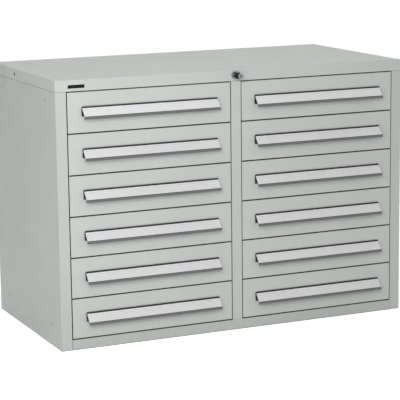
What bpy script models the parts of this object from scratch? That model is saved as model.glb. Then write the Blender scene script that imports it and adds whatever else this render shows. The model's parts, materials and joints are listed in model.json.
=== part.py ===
"""Steel drawer cabinet: a folded sheet housing with two bays of full-extension drawers.

Metres, +Z up, the front towards -Y. The origin lies on the floor, under the middle of the
outline that the housing, the pulls and the lock make together.
"""
import math

import bmesh
import bpy

for leftover in list(bpy.data.objects):
    bpy.data.objects.remove(leftover, do_unlink=True)

# Housing
WIDTH = 1.430
DEPTH = 0.725
HEIGHT = 1.000
STILE_WIDTH = 0.042
POST_WIDTH = 0.040
TOP_RAIL_HEIGHT = 0.042
BASE_RAIL_HEIGHT = 0.039
ROW_COUNT = 6

# Sheet metal and fits
SHEET = 0.0015
COVER_EDGE_RADIUS = 0.003
SIDE_EDGE_RADIUS = 0.002
FRONT_EDGE_RADIUS = 0.0015
FRONT_CORNER_RADIUS = 0.002
SEAT_GAP = 0.0003
COVER_SEAM = 0.0008
STILE_RETURN = 0.015
BASE_FLANGE = 0.040
BACK_RIB_WIDTH = 0.030
BACK_RIB_HEIGHT = 0.0012
BACK_RIB_COUNT = 3
CUT_OVERRUN = 0.002
WELD_OVERLAP = 0.0005
CORNER_STEPS = 2
SHARP_EDGE_DEGREES = 35

# Hole in each end of the cover, for bolting cabinets side by side
COVER_HOLE_RADIUS = 0.007
COVER_HOLE_FROM_BACK = 0.267

# Drawer fronts
ROW_GAP = 0.004
SIDE_GAP = 0.003
FRONT_DEPTH = 0.018

# Drawer trays
TRAY_LIFT = 0.008
TRAY_HEADROOM = 0.0225
TRAY_BACK_GAP = 0.040
TRAY_CORNER_RADIUS = 0.006
RIM_HEIGHT = 0.008
RIM_OVERHANG = 0.003

# Telescopic slides, measured from the bay's side towards the tray
RAIL_SHEET = 0.0015
RAIL_DEPTH = 0.009
RAIL_HEIGHT = 0.045
RAIL_ABOVE_FLOOR = 0.004
RAIL_FRONT_GAP = 0.024
RAIL_BACK_GAP = 0.036
BALL_GAP = 0.0035
RUNNING_GAP = 0.0004
RIDGE_WIDTH = 0.003
MEMBER_DEPTH = 0.008
TIE_SHEET = 0.002
TIE_WIDTH = 0.030
TIE_CLEARANCE = 0.004
TIE_RAIL_GAP = 0.0012
TIE_TRAY_GAP = 0.0018

# Handles: a label-holder pull with a sloping face, a slot behind its top edge and a curled lip
HANDLE_LENGTH = 0.538
HANDLE_BELOW_TOP = 0.0585
HANDLE_SHEET = 0.0015
HANDLE_FLANGE_RISE = 0.005
HANDLE_FLANGE_DROP = 0.030
HANDLE_SLOT_WIDTH = 0.0035
HANDLE_SLOT_DEPTH = 0.009
HANDLE_FACE_DROP = 0.031
HANDLE_FACE_REACH = 0.0275
HANDLE_WALL = 0.0024
HANDLE_RECESS = 0.0009
HANDLE_RIM = 0.0035
HANDLE_NOSE_RADIUS = 0.003
HANDLE_LIP = 0.005
HANDLE_LIP_TURN_DEGREES = 95
HANDLE_NOSE_STEPS = 4

# Push lock in the middle of the top rail
ROSETTE_RADIUS = 0.018
ROSETTE_THICKNESS = 0.004
SLEEVE_RADIUS = 0.0125
SLEEVE_REACH = 0.024
SLEEVE_TAIL = 0.0025
PLUNGER_RADIUS = 0.0097
PLUNGER_REACH = 0.045
PLUNGER_TRAVEL = 0.018
PLUNGER_END = 0.0065
CORE_RADIUS = 0.0062
CORE_DEPTH = 0.016
KEYWAY_WIDTH = 0.0016
KEYWAY_HEIGHT = 0.008
KEYWAY_DEPTH = 0.003
LOCK_CHAMFER = 0.001
LOCK_SIDES = 32

# Lock bar inside the centre partition, lifted by the wedge behind the plunger
BAR_BEHIND_FRONT = 0.028
BAR_THICKNESS = 0.003
BAR_WIDTH = 0.030
BAR_LIFT = 0.012
BAR_FOOT_GAP = 0.010
BAR_HEAD = 0.005
WEDGE_WIDTH = 0.010
WEDGE_CONTACT_DROP = 0.012
WEDGE_TIP_THICKNESS = 0.004
WEDGE_MARGIN = 0.003
WINDOW_CLEARANCE = 0.001
TAB_HEIGHT = 0.014
TAB_TRAY_GAP = 0.0023
LUG_HEIGHT = 0.012
LUG_DEPTH = 0.008
LUG_REACH = 0.010
LUG_BELOW_RIM = 0.011
LUG_TAB_RISE = 0.003
LUG_TAB_GAP = 0.001

# Places that follow from the sizes above
HANDLE_TOP_REACH = SEAT_GAP + HANDLE_SHEET + HANDLE_SLOT_WIDTH
HANDLE_REACH = HANDLE_TOP_REACH + HANDLE_FACE_REACH + HANDLE_NOSE_RADIUS
FRONT_Y = (max(PLUNGER_REACH, HANDLE_REACH) - DEPTH) / 2
BACK_Y = FRONT_Y + DEPTH
BAY_WIDTH = (WIDTH - 2 * STILE_WIDTH - POST_WIDTH) / 2
BAY_HALF = BAY_WIDTH / 2
OPENING_TOP = HEIGHT - TOP_RAIL_HEIGHT
OPENING_HEIGHT = OPENING_TOP - BASE_RAIL_HEIGHT
FRONT_HEIGHT = (OPENING_HEIGHT - ROW_GAP * (ROW_COUNT + 1)) / ROW_COUNT
FRONT_WIDTH = BAY_WIDTH - 2 * SIDE_GAP
BASE_SEAT = BASE_RAIL_HEIGHT + SEAT_GAP
COVER_SEAT = HEIGHT - SHEET - SEAT_GAP
BACK_STACK = 2 * (SHEET + SEAT_GAP)
INNER_BACK_Y = BACK_Y - BACK_STACK

BRACKET_NEAR = RAIL_DEPTH + TIE_RAIL_GAP
BRACKET_FAR = BRACKET_NEAR + TIE_SHEET
SLIDE_SPACE = BRACKET_FAR + TIE_TRAY_GAP
RAIL_START = FRONT_DEPTH + RAIL_FRONT_GAP
RAIL_LENGTH = DEPTH - RAIL_START - RAIL_BACK_GAP - BACK_STACK
CARRIAGE_LOW = RAIL_SHEET + BALL_GAP
MEMBER_LOW = CARRIAGE_LOW + RAIL_SHEET + BALL_GAP
RIDGE_HEIGHT = BALL_GAP - RUNNING_GAP

TRAY_HALF_WIDTH = BAY_HALF - SLIDE_SPACE
TRAY_START = SHEET + SEAT_GAP + RIM_OVERHANG
TRAY_LENGTH = DEPTH - TRAY_START - TRAY_BACK_GAP - BACK_STACK
TRAY_TOP = FRONT_HEIGHT - TRAY_HEADROOM
SLIDE_BASE = TRAY_LIFT + RAIL_ABOVE_FLOOR

LUG_TOP = TRAY_TOP - RIM_HEIGHT - LUG_BELOW_RIM
TAB_TOP = LUG_TOP - LUG_HEIGHT - LUG_TAB_RISE
LOCK_Z = HEIGHT - TOP_RAIL_HEIGHT / 2
WEDGE_SLOPE = BAR_LIFT / PLUNGER_TRAVEL
WEDGE_LOW = -WEDGE_CONTACT_DROP - WEDGE_TIP_THICKNESS
WEDGE_TIP = BAR_BEHIND_FRONT + WEDGE_TIP_THICKNESS / WEDGE_SLOPE
BAR_SEAT_Z = LOCK_Z - WEDGE_CONTACT_DROP + SEAT_GAP


def row_base(row):
    """Height of the bottom edge of a drawer front, counting rows down from the top."""
    rows_below = ROW_COUNT - row
    return BASE_RAIL_HEIGHT + ROW_GAP + rows_below * (FRONT_HEIGHT + ROW_GAP)


# Finishes

def finish(name, colour, roughness, metallic):
    material = bpy.data.materials.new(name)
    material.use_nodes = True
    shader = material.node_tree.nodes["Principled BSDF"]
    shader.inputs["Base Color"].default_value = (*colour, 1)
    shader.inputs["Roughness"].default_value = roughness
    shader.inputs["Metallic"].default_value = metallic
    return material


HOUSING_PAINT = finish("housing_paint", (0.46, 0.50, 0.47), 0.45, 0)
DRAWER_PAINT = finish("drawer_paint", (0.56, 0.58, 0.56), 0.42, 0)
TRAY_PAINT = finish("tray_paint", (0.50, 0.53, 0.51), 0.5, 0)
HANDLE_PAINT = finish("handle_grey", (0.13, 0.14, 0.14), 0.4, 0)
ZINC_STEEL = finish("zinc_steel", (0.55, 0.56, 0.58), 0.35, 1)
LOCK_CHROME = finish("lock_chrome", (0.073, 0.073, 0.078), 0.15, 1)
LOCK_STEEL = finish("lock_core_steel", (0.35, 0.35, 0.36), 0.3, 1)


# Shapes

def mesh_from(shape, name):
    bmesh.ops.recalc_face_normals(shape, faces=shape.faces[:])
    mesh = bpy.data.meshes.new(name)
    shape.to_mesh(mesh)
    shape.free()
    return mesh


def lofted(loops, name, ring=False):
    """Skin loops of equally many points, capped at both ends or closed into a ring."""
    shape = bmesh.new()
    rows = [[shape.verts.new(point) for point in loop] for loop in loops]
    pairs = list(zip(rows, rows[1:]))
    if ring:
        pairs.append((rows[-1], rows[0]))
    else:
        shape.faces.new(rows[0])
        shape.faces.new(rows[-1])
    count = len(rows[0])
    for near, far in pairs:
        for k in range(count):
            following = (k + 1) % count
            shape.faces.new((near[k], near[following], far[following], far[k]))
    return mesh_from(shape, name)


def rounded_outline(half_width, half_height, radius):
    """Points of a rectangle with rounded corners, centred on zero."""
    points = []
    for quarter, (side_x, side_y) in enumerate(((1, 1), (-1, 1), (-1, -1), (1, -1))):
        centre_x = side_x * (half_width - radius)
        centre_y = side_y * (half_height - radius)
        for step in range(CORNER_STEPS + 1):
            turn = (quarter + step / CORNER_STEPS) * math.pi / 2
            points.append((centre_x + radius * math.cos(turn), centre_y + radius * math.sin(turn)))
    return points


def inside_radius(radius):
    """Radius left inside a fold of the sheet, which is never quite sharp."""
    return max(radius - SHEET, SEAT_GAP)


def rounded_edge(radius):
    """Insets and depths that carry an outline round an edge of the given radius."""
    steps = [k / CORNER_STEPS * math.pi / 2 for k in range(CORNER_STEPS + 1)]
    return [(radius * (1 - math.sin(turn)), radius * (1 - math.cos(turn))) for turn in steps]


def in_plan(outline, z, middle_y=0):
    return [(x, middle_y + y, z) for x, y in outline]


def in_front(outline, y, middle_z=0):
    return [(x, y, middle_z + z) for x, z in outline]


def along_x(outline, low, high, name):
    """Extrude an outline of (y, z) points along X."""
    return lofted([[(x, y, z) for y, z in outline] for x in (low, high)], name)


def along_y(outline, low, high, name):
    """Extrude an outline of (x, z) points along Y."""
    return lofted([[(x, y, z) for x, z in outline] for y in (low, high)], name)


def along_z(outline, low, high, name):
    """Extrude an outline of (x, y) points along Z."""
    return lofted([[(x, y, z) for x, y in outline] for z in (low, high)], name)


def block(low, high, name="block"):
    outline = [(low[0], low[1]), (high[0], low[1]), (high[0], high[1]), (low[0], high[1])]
    return along_z(outline, low[2], high[2], name)


def circle(radius, y):
    turns = [2 * math.pi * k / LOCK_SIDES for k in range(LOCK_SIDES)]
    return [(radius * math.cos(turn), y, radius * math.sin(turn)) for turn in turns]


def combined(body, tools, operation):
    """Join meshes to a body, or cut them from it, and return the one mesh that results."""
    base = bpy.data.objects.new("combined_body", body)
    bpy.context.scene.collection.objects.link(base)
    helpers = [base]
    for tool in tools:
        helper = bpy.data.objects.new("combined_tool", tool)
        bpy.context.scene.collection.objects.link(helper)
        modifier = base.modifiers.new("combine", "BOOLEAN")
        modifier.operation = operation
        modifier.object = helper
        helpers.append(helper)
    scene_state = bpy.context.evaluated_depsgraph_get()
    result = bpy.data.meshes.new_from_object(base.evaluated_get(scene_state))
    for helper in helpers:
        bpy.data.objects.remove(helper)
    return result


def mirrored(mesh):
    """Copy of a mesh, mirrored left to right with its faces still pointing out."""
    shape = bmesh.new()
    shape.from_mesh(mesh)
    for vertex in shape.verts:
        vertex.co.x = -vertex.co.x
    bmesh.ops.reverse_faces(shape, faces=shape.faces[:])
    return mesh_from(shape, mesh.name + "_mirrored")


def shade_round(mesh):
    mesh.shade_smooth()
    mesh.set_sharp_from_angle(angle=math.radians(SHARP_EDGE_DEGREES))
    return mesh


def place(name, mesh, material, parent=None):
    if not mesh.materials:
        mesh.materials.append(material)
    piece = bpy.data.objects.new(name, mesh)
    bpy.context.scene.collection.objects.link(piece)
    piece.parent = parent
    return piece


def joint_origin(name, location):
    empty = bpy.data.objects.new(name, None)
    empty.location = location
    bpy.context.scene.collection.objects.link(empty)
    return empty


# Housing pieces

def top_cover_mesh():
    """Shallow lid with its edges folded down, pierced for the lock and the end bolts."""
    half_width = WIDTH / 2
    half_depth = DEPTH / 2
    middle_y = (FRONT_Y + BACK_Y) / 2
    loops = []
    for inset, drop in rounded_edge(COVER_EDGE_RADIUS):
        outline = rounded_outline(half_width - inset, half_depth - inset, COVER_EDGE_RADIUS)
        loops.append(in_plan(outline, HEIGHT - drop, middle_y))
    outer = rounded_outline(half_width, half_depth, COVER_EDGE_RADIUS)
    inner = rounded_outline(half_width - SHEET, half_depth - SHEET, inside_radius(COVER_EDGE_RADIUS))
    loops.append(in_plan(outer, OPENING_TOP, middle_y))
    loops.append(in_plan(inner, OPENING_TOP, middle_y))
    loops.append(in_plan(inner, HEIGHT - SHEET, middle_y))
    lid = lofted(loops, "top_cover")
    lock_hole = lofted([[(x, y, z + LOCK_Z) for x, y, z in circle(SLEEVE_RADIUS + SEAT_GAP, depth)]
                        for depth in (FRONT_Y - CUT_OVERRUN, FRONT_Y + SHEET + CUT_OVERRUN)], "lock_hole")
    hole_y = BACK_Y - COVER_HOLE_FROM_BACK
    reach = half_width + CUT_OVERRUN
    bolt_hole = lofted([[(end, hole_y + x, z + LOCK_Z) for x, y, z in circle(COVER_HOLE_RADIUS, 0)]
                        for end in (-reach, reach)], "bolt_hole")
    return combined(lid, [lock_hole, bolt_hole], "DIFFERENCE")


def side_panel_mesh():
    """Left side: outer sheet, front stile with its return, and rear flange, folded from one sheet."""
    outside = -WIDTH / 2
    edge = outside + STILE_WIDTH
    steps = [k / CORNER_STEPS * math.pi / 2 for k in range(CORNER_STEPS + 1)]
    radius = SIDE_EDGE_RADIUS
    front_fold = [(outside + radius * (1 - math.cos(turn)), FRONT_Y + radius * (1 - math.sin(turn)))
                  for turn in steps]
    back_fold = [(outside + radius * (1 - math.sin(turn)), BACK_Y - radius * (1 - math.cos(turn)))
                 for turn in steps]
    outline = [(edge, BACK_Y)] + back_fold + front_fold
    outline += [(edge, FRONT_Y), (edge, FRONT_Y + STILE_RETURN)]
    outline += [(edge - SHEET, FRONT_Y + STILE_RETURN), (edge - SHEET, FRONT_Y + SHEET)]
    outline += [(outside + SHEET, FRONT_Y + SHEET), (outside + SHEET, BACK_Y - SHEET)]
    outline += [(edge, BACK_Y - SHEET)]
    return along_z(outline, 0, OPENING_TOP - COVER_SEAM, "side_panel")


def base_outline(inset):
    """Plan of the base, notched round the stiles' returns and drawn in by an inset."""
    side = WIDTH / 2 - SHEET - SEAT_GAP - inset
    notch_x = WIDTH / 2 - STILE_WIDTH - SEAT_GAP - inset
    notch_y = FRONT_Y + STILE_RETURN + SEAT_GAP + inset
    front = FRONT_Y + inset
    back = BACK_Y - SHEET - SEAT_GAP - inset
    return [(-notch_x, front), (notch_x, front), (notch_x, notch_y), (side, notch_y),
            (side, back), (-side, back), (-side, notch_y), (-notch_x, notch_y)]


def base_frame_mesh():
    """Deck with a skirt all round and a foot flange turned in at the floor."""
    loops = [in_plan(base_outline(0), BASE_RAIL_HEIGHT), in_plan(base_outline(0), 0),
             in_plan(base_outline(BASE_FLANGE), 0), in_plan(base_outline(BASE_FLANGE), SHEET),
             in_plan(base_outline(SHEET), SHEET), in_plan(base_outline(SHEET), BASE_RAIL_HEIGHT - SHEET)]
    return lofted(loops, "base_frame")


def back_panel_mesh():
    """Back sheet with shallow ribs pressed outwards, between the side panels' rear flanges."""
    outer = BACK_Y - SHEET - SEAT_GAP
    half = WIDTH / 2 - SEAT_GAP - COVER_EDGE_RADIUS
    sheet = block((-half, outer - SHEET, BASE_SEAT), (half, outer, COVER_SEAT), "back_panel")
    height = COVER_SEAT - BASE_SEAT
    rib_half = WIDTH / 2 - STILE_WIDTH - BACK_RIB_WIDTH
    ribs = []
    for rib in range(BACK_RIB_COUNT):
        middle = BASE_SEAT + height * (rib + 1) / (BACK_RIB_COUNT + 1)
        sections = ((0, outer - WELD_OVERLAP), (0, outer), (BACK_RIB_HEIGHT, outer + BACK_RIB_HEIGHT))
        loops = []
        for inset, y in sections:
            outline = rounded_outline(rib_half - inset, BACK_RIB_WIDTH / 2 - inset,
                                      BACK_RIB_WIDTH / 2 - BACK_RIB_HEIGHT - inset)
            loops.append(in_front(outline, y, middle))
        ribs.append(lofted(loops, "back_rib"))
    return combined(sheet, ribs, "UNION")


def channel(back, mouth, low, high, ridge=None):
    """C-shaped rail section in (distance from the bay's side, height).

    A ridge (start, end) stands on the outer face of both flanges, where the row of balls runs.
    """
    wall = back + math.copysign(RAIL_SHEET, mouth - back)
    lower = [(back, low)]
    upper = [(back, high)]
    if ridge:
        lower += [(ridge[0], low), (ridge[0], low - RIDGE_HEIGHT)]
        lower += [(ridge[1], low - RIDGE_HEIGHT), (ridge[1], low)]
        upper += [(ridge[0], high), (ridge[0], high + RIDGE_HEIGHT)]
        upper += [(ridge[1], high + RIDGE_HEIGHT), (ridge[1], high)]
    lower += [(mouth, low), (mouth, low + RAIL_SHEET), (wall, low + RAIL_SHEET)]
    upper += [(mouth, high), (mouth, high - RAIL_SHEET), (wall, high - RAIL_SHEET)]
    return lower + list(reversed(upper))


def fixed_rail(edge_x, direction, row):
    """Outer slide member of one row, on the side of a bay at edge_x, opening along direction."""
    section = channel(-WELD_OVERLAP, RAIL_DEPTH, 0, RAIL_HEIGHT)
    outline = [(edge_x + direction * u, row_base(row) + SLIDE_BASE + w) for u, w in section]
    start = FRONT_Y + RAIL_START
    return along_y(outline, start, start + RAIL_LENGTH, "fixed_rail")


def runner_rack_mesh():
    """Left upright plate, from the stile's return to the back, with its fixed rails."""
    edge = -WIDTH / 2 + STILE_WIDTH
    plate = block((edge - SHEET, FRONT_Y + STILE_RETURN + SEAT_GAP, BASE_SEAT),
                  (edge, INNER_BACK_Y, COVER_SEAT), "runner_rack")
    rails = [fixed_rail(edge, 1, row) for row in range(1, ROW_COUNT + 1)]
    return combined(plate, rails, "UNION")


def centre_partition_mesh():
    """Front post and its two walls, folded from one sheet up to the back panel, with rails and slots."""
    half = POST_WIDTH / 2
    outline = [(-half, INNER_BACK_Y), (-half, FRONT_Y), (half, FRONT_Y), (half, INNER_BACK_Y)]
    outline += [(half - SHEET, INNER_BACK_Y), (half - SHEET, FRONT_Y + SHEET)]
    outline += [(-half + SHEET, FRONT_Y + SHEET), (-half + SHEET, INNER_BACK_Y)]
    folded = along_z(outline, BASE_SEAT, OPENING_TOP - COVER_SEAM, "centre_partition")
    rows = range(1, ROW_COUNT + 1)
    rails = [fixed_rail(side * half, side, row) for side in (-1, 1) for row in rows]
    joined = combined(folded, rails, "UNION")
    reach = half + CUT_OVERRUN
    cutters = []
    slot_start = FRONT_Y + BAR_BEHIND_FRONT - RUNNING_GAP
    slot_end = FRONT_Y + BAR_BEHIND_FRONT + BAR_THICKNESS + RUNNING_GAP
    for row in rows:
        tab_top = row_base(row) + TAB_TOP
        cutters.append(block((-reach, slot_start, tab_top - TAB_HEIGHT - RUNNING_GAP),
                             (reach, slot_end, tab_top + BAR_LIFT + RUNNING_GAP)))
    return combined(joined, cutters, "DIFFERENCE")


# Drawer pieces, in a frame at the middle of the front's bottom edge

def drawer_front_mesh():
    """Pan-shaped front with its edges folded back."""
    half_width = FRONT_WIDTH / 2
    half_height = FRONT_HEIGHT / 2
    loops = []
    for inset, depth in rounded_edge(FRONT_EDGE_RADIUS):
        outline = rounded_outline(half_width - inset, half_height - inset, FRONT_CORNER_RADIUS)
        loops.append(in_front(outline, depth, half_height))
    outer = rounded_outline(half_width, half_height, FRONT_CORNER_RADIUS)
    inner = rounded_outline(half_width - SHEET, half_height - SHEET, inside_radius(FRONT_CORNER_RADIUS))
    loops.append(in_front(outer, FRONT_DEPTH, half_height))
    loops.append(in_front(inner, FRONT_DEPTH, half_height))
    loops.append(in_front(inner, SHEET, half_height))
    return lofted(loops, "drawer_front")


def drawer_member(side):
    """Slide member welded to one side of the tray."""
    mouth = SLIDE_SPACE - MEMBER_DEPTH
    ridge_middle = (mouth + BRACKET_FAR) / 2
    ridge = (ridge_middle + RIDGE_WIDTH / 2, ridge_middle - RIDGE_WIDTH / 2)
    section = channel(SLIDE_SPACE + WELD_OVERLAP, mouth, MEMBER_LOW, RAIL_HEIGHT - MEMBER_LOW, ridge)
    outline = [(side * (BAY_HALF - u), SLIDE_BASE + w) for u, w in section]
    return along_y(outline, RAIL_START, TRAY_START + TRAY_LENGTH - RAIL_SHEET, "drawer_member")


def lock_lug(side):
    """Lug on the tray's side that the lifted lock bar stands in front of."""
    inner = side * (TRAY_HALF_WIDTH - WELD_OVERLAP)
    outer = side * (TRAY_HALF_WIDTH + LUG_REACH)
    start = BAR_BEHIND_FRONT + BAR_THICKNESS + LUG_TAB_GAP
    return block((min(inner, outer), start, LUG_TOP - LUG_HEIGHT),
                 (max(inner, outer), start + LUG_DEPTH, LUG_TOP))


def drawer_tray_mesh():
    """Open tray with a folded rim, its two slide members and its lock lugs."""
    half_length = TRAY_LENGTH / 2
    middle_y = TRAY_START + half_length
    outer = rounded_outline(TRAY_HALF_WIDTH, half_length, TRAY_CORNER_RADIUS)
    rim = rounded_outline(TRAY_HALF_WIDTH + RIM_OVERHANG, half_length + RIM_OVERHANG,
                          TRAY_CORNER_RADIUS + RIM_OVERHANG)
    inner = rounded_outline(TRAY_HALF_WIDTH - SHEET, half_length - SHEET,
                            inside_radius(TRAY_CORNER_RADIUS))
    loops = [in_plan(outer, TRAY_LIFT, middle_y), in_plan(outer, TRAY_TOP - RIM_HEIGHT, middle_y),
             in_plan(rim, TRAY_TOP - RIM_HEIGHT, middle_y), in_plan(rim, TRAY_TOP, middle_y),
             in_plan(inner, TRAY_TOP, middle_y), in_plan(inner, TRAY_LIFT + SHEET, middle_y)]
    tray = lofted(loops, "drawer_tray")
    additions = [drawer_member(side) for side in (-1, 1)] + [lock_lug(side) for side in (-1, 1)]
    return combined(tray, additions, "UNION")


def handle_outline():
    """Section of the pull in (reach out of the front, height above the face's top edge)."""
    face_length = math.hypot(HANDLE_FACE_REACH, HANDLE_FACE_DROP)
    along = (HANDLE_FACE_REACH / face_length, -HANDLE_FACE_DROP / face_length)
    out = (-along[1], along[0])

    def on_face(distance, depth):
        return (HANDLE_TOP_REACH + distance * along[0] - depth * out[0],
                distance * along[1] - depth * out[1])

    def back_of_face(height):
        top = on_face(0, HANDLE_WALL)
        return (top[0] + (top[1] - height) * HANDLE_FACE_REACH / HANDLE_FACE_DROP, height)

    flange = SEAT_GAP + HANDLE_SHEET
    outline = [(SEAT_GAP, -HANDLE_FLANGE_DROP), (SEAT_GAP, HANDLE_FLANGE_RISE)]
    outline += [(flange, HANDLE_FLANGE_RISE), (flange, -HANDLE_SLOT_DEPTH)]
    outline += [back_of_face(-HANDLE_SLOT_DEPTH), on_face(0, HANDLE_WALL), on_face(0, 0)]
    outline += [on_face(HANDLE_RIM, 0), on_face(HANDLE_RIM, HANDLE_RECESS)]
    outline += [on_face(face_length - HANDLE_RIM, HANDLE_RECESS), on_face(face_length - HANDLE_RIM, 0)]
    nose = on_face(face_length, HANDLE_NOSE_RADIUS)
    start = math.atan2(out[1], out[0])
    lip_turn = math.radians(HANDLE_LIP_TURN_DEGREES)
    for step in range(HANDLE_NOSE_STEPS + 1):
        turn = start - lip_turn * step / HANDLE_NOSE_STEPS
        outline.append((nose[0] + HANDLE_NOSE_RADIUS * math.cos(turn),
                        nose[1] + HANDLE_NOSE_RADIUS * math.sin(turn)))
    lip = (math.sin(turn), -math.cos(turn))
    tip = (outline[-1][0] + HANDLE_LIP * lip[0], outline[-1][1] + HANDLE_LIP * lip[1])
    outline.append(tip)
    outline.append((tip[0] - HANDLE_WALL * math.cos(turn), tip[1] - HANDLE_WALL * math.sin(turn)))
    outline.append(on_face(face_length, HANDLE_WALL))
    outline += [back_of_face(-HANDLE_SLOT_DEPTH - HANDLE_SHEET)]
    outline += [(flange, -HANDLE_SLOT_DEPTH - HANDLE_SHEET), (flange, -HANDLE_FLANGE_DROP)]
    return outline


def handle_mesh():
    """Extruded label-holder pull, open at both ends."""
    top = FRONT_HEIGHT - HANDLE_BELOW_TOP
    outline = [(-reach, top + height) for reach, height in handle_outline()]
    return along_x(outline, -HANDLE_LENGTH / 2, HANDLE_LENGTH / 2, "handle")


def carriage_side(side):
    """Middle slide member on one side, running in the fixed rail."""
    back = RAIL_SHEET + RUNNING_GAP
    ridge_middle = (back + RAIL_DEPTH) / 2
    ridge = (ridge_middle - RIDGE_WIDTH / 2, ridge_middle + RIDGE_WIDTH / 2)
    section = channel(back, BRACKET_FAR, CARRIAGE_LOW, RAIL_HEIGHT - CARRIAGE_LOW, ridge)
    outline = [(side * (BAY_HALF - u), SLIDE_BASE + w) for u, w in section]
    return along_y(outline, RAIL_START, RAIL_START + RAIL_LENGTH, "carriage")


def carriage_tie():
    """Strip under the tray's back end that ties both middle members together."""
    far = BAY_HALF - BRACKET_NEAR
    near = far - TIE_SHEET
    top = TRAY_LIFT - TIE_CLEARANCE
    join = SLIDE_BASE + CARRIAGE_LOW + WELD_OVERLAP
    outline = [(-far, top - TIE_SHEET), (far, top - TIE_SHEET), (far, join), (near, join),
               (near, top), (-near, top), (-near, join), (-far, join)]
    end = RAIL_START + RAIL_LENGTH
    return along_y(outline, end - TIE_WIDTH, end, "carriage_tie")


def carriage_mesh():
    return combined(carriage_side(-1), [carriage_side(1), carriage_tie()], "UNION")


# Lock pieces, in a frame on the lock's axis at the face of the top rail

def lock_housing_mesh():
    """Rosette and sleeve, turned from one piece, with the plunger's bore."""
    bore = PLUNGER_RADIUS + SEAT_GAP
    rosette_front = -SEAT_GAP - ROSETTE_THICKNESS
    profile = [(bore, -SLEEVE_REACH), (SLEEVE_RADIUS - LOCK_CHAMFER, -SLEEVE_REACH),
               (SLEEVE_RADIUS, -SLEEVE_REACH + LOCK_CHAMFER), (SLEEVE_RADIUS, rosette_front),
               (ROSETTE_RADIUS - LOCK_CHAMFER, rosette_front),
               (ROSETTE_RADIUS, rosette_front + LOCK_CHAMFER),
               (ROSETTE_RADIUS, -SEAT_GAP), (SLEEVE_RADIUS, -SEAT_GAP),
               (SLEEVE_RADIUS, SHEET + SLEEVE_TAIL), (bore, SHEET + SLEEVE_TAIL)]
    return shade_round(lofted([circle(radius, y) for radius, y in profile], "lock_housing", ring=True))


def lock_plunger_mesh():
    """Push cylinder, bored for the key core, with the wedge that lifts the lock bar."""
    bore = CORE_RADIUS + SEAT_GAP
    front = -PLUNGER_REACH
    profile = [(bore, front + CORE_DEPTH), (bore, front), (PLUNGER_RADIUS - LOCK_CHAMFER, front),
               (PLUNGER_RADIUS, front + LOCK_CHAMFER), (PLUNGER_RADIUS, PLUNGER_END)]
    cylinder = lofted([circle(radius, y) for radius, y in profile], "lock_plunger")
    wedge_start = BAR_BEHIND_FRONT - PLUNGER_TRAVEL - WEDGE_MARGIN
    wedge_top = -WEDGE_CONTACT_DROP + WEDGE_SLOPE * (BAR_BEHIND_FRONT - wedge_start)
    tail_start = SHEET + SLEEVE_TAIL + WELD_OVERLAP
    outline = [(tail_start, WEDGE_LOW), (WEDGE_TIP, WEDGE_LOW),
               (wedge_start, wedge_top), (tail_start, wedge_top)]
    wedge = along_x(outline, -WEDGE_WIDTH / 2, WEDGE_WIDTH / 2, "wedge")
    return shade_round(combined(cylinder, [wedge], "UNION"))


def lock_core_mesh():
    """Key core with its keyway, turning in the plunger's bore."""
    front = -PLUNGER_REACH
    profile = [(CORE_RADIUS, front + CORE_DEPTH - SEAT_GAP), (CORE_RADIUS, front)]
    core = lofted([circle(radius, y) for radius, y in profile], "lock_core")
    keyway = block((-KEYWAY_WIDTH / 2, front - CUT_OVERRUN, -KEYWAY_HEIGHT / 2),
                   (KEYWAY_WIDTH / 2, front + KEYWAY_DEPTH, KEYWAY_HEIGHT / 2))
    return shade_round(combined(core, [keyway], "DIFFERENCE"))


def lock_bar_mesh():
    """Flat bar with a pair of tabs for each row and a window that rides on the wedge.

    Its frame is on the floor, in line with the bar's front face.
    """
    half = BAR_WIDTH / 2
    tab_half = POST_WIDTH / 2 + SLIDE_SPACE - TAB_TRAY_GAP
    right_side = [(half, BASE_SEAT + BAR_FOOT_GAP)]
    for row in range(ROW_COUNT, 0, -1):
        top = row_base(row) + TAB_TOP
        right_side += [(half, top - TAB_HEIGHT), (tab_half, top - TAB_HEIGHT), (tab_half, top), (half, top)]
    right_side.append((half, BAR_SEAT_Z + BAR_HEAD))
    outline = right_side + [(-x, z) for x, z in reversed(right_side)]
    bar = along_y(outline, 0, BAR_THICKNESS, "lock_bar")
    window_half = WEDGE_WIDTH / 2 + WINDOW_CLEARANCE
    window_low = LOCK_Z + WEDGE_LOW - BAR_LIFT - WINDOW_CLEARANCE
    window = block((-window_half, -CUT_OVERRUN, window_low),
                   (window_half, BAR_THICKNESS + CUT_OVERRUN, BAR_SEAT_Z))
    return combined(bar, [window], "DIFFERENCE")


# Assembly

def build_housing():
    left_side = side_panel_mesh()
    left_rack = runner_rack_mesh()
    place("top_cover", shade_round(top_cover_mesh()), HOUSING_PAINT)
    place("left_side_panel", shade_round(left_side), HOUSING_PAINT)
    place("right_side_panel", shade_round(mirrored(left_side)), HOUSING_PAINT)
    place("base_frame", base_frame_mesh(), HOUSING_PAINT)
    place("back_panel", back_panel_mesh(), HOUSING_PAINT)
    place("left_runner_rack", left_rack, ZINC_STEEL)
    place("right_runner_rack", mirrored(left_rack), ZINC_STEEL)
    place("centre_partition", centre_partition_mesh(), HOUSING_PAINT)


def build_drawers():
    front = shade_round(drawer_front_mesh())
    tray = drawer_tray_mesh()
    handle = shade_round(handle_mesh())
    carriage = carriage_mesh()
    bay_middle = POST_WIDTH / 2 + BAY_HALF
    for bay, middle_x in (("left", -bay_middle), ("right", bay_middle)):
        for row in range(1, ROW_COUNT + 1):
            name = f"{bay}_drawer_{row}"
            origin = joint_origin(name, (middle_x, FRONT_Y, row_base(row)))
            place(f"{name}_front", front, DRAWER_PAINT, origin)
            place(f"{name}_tray", tray, TRAY_PAINT, origin)
            place(f"{name}_handle", handle, HANDLE_PAINT, origin)
            place(f"{name}_carriage", carriage, ZINC_STEEL, origin)


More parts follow.
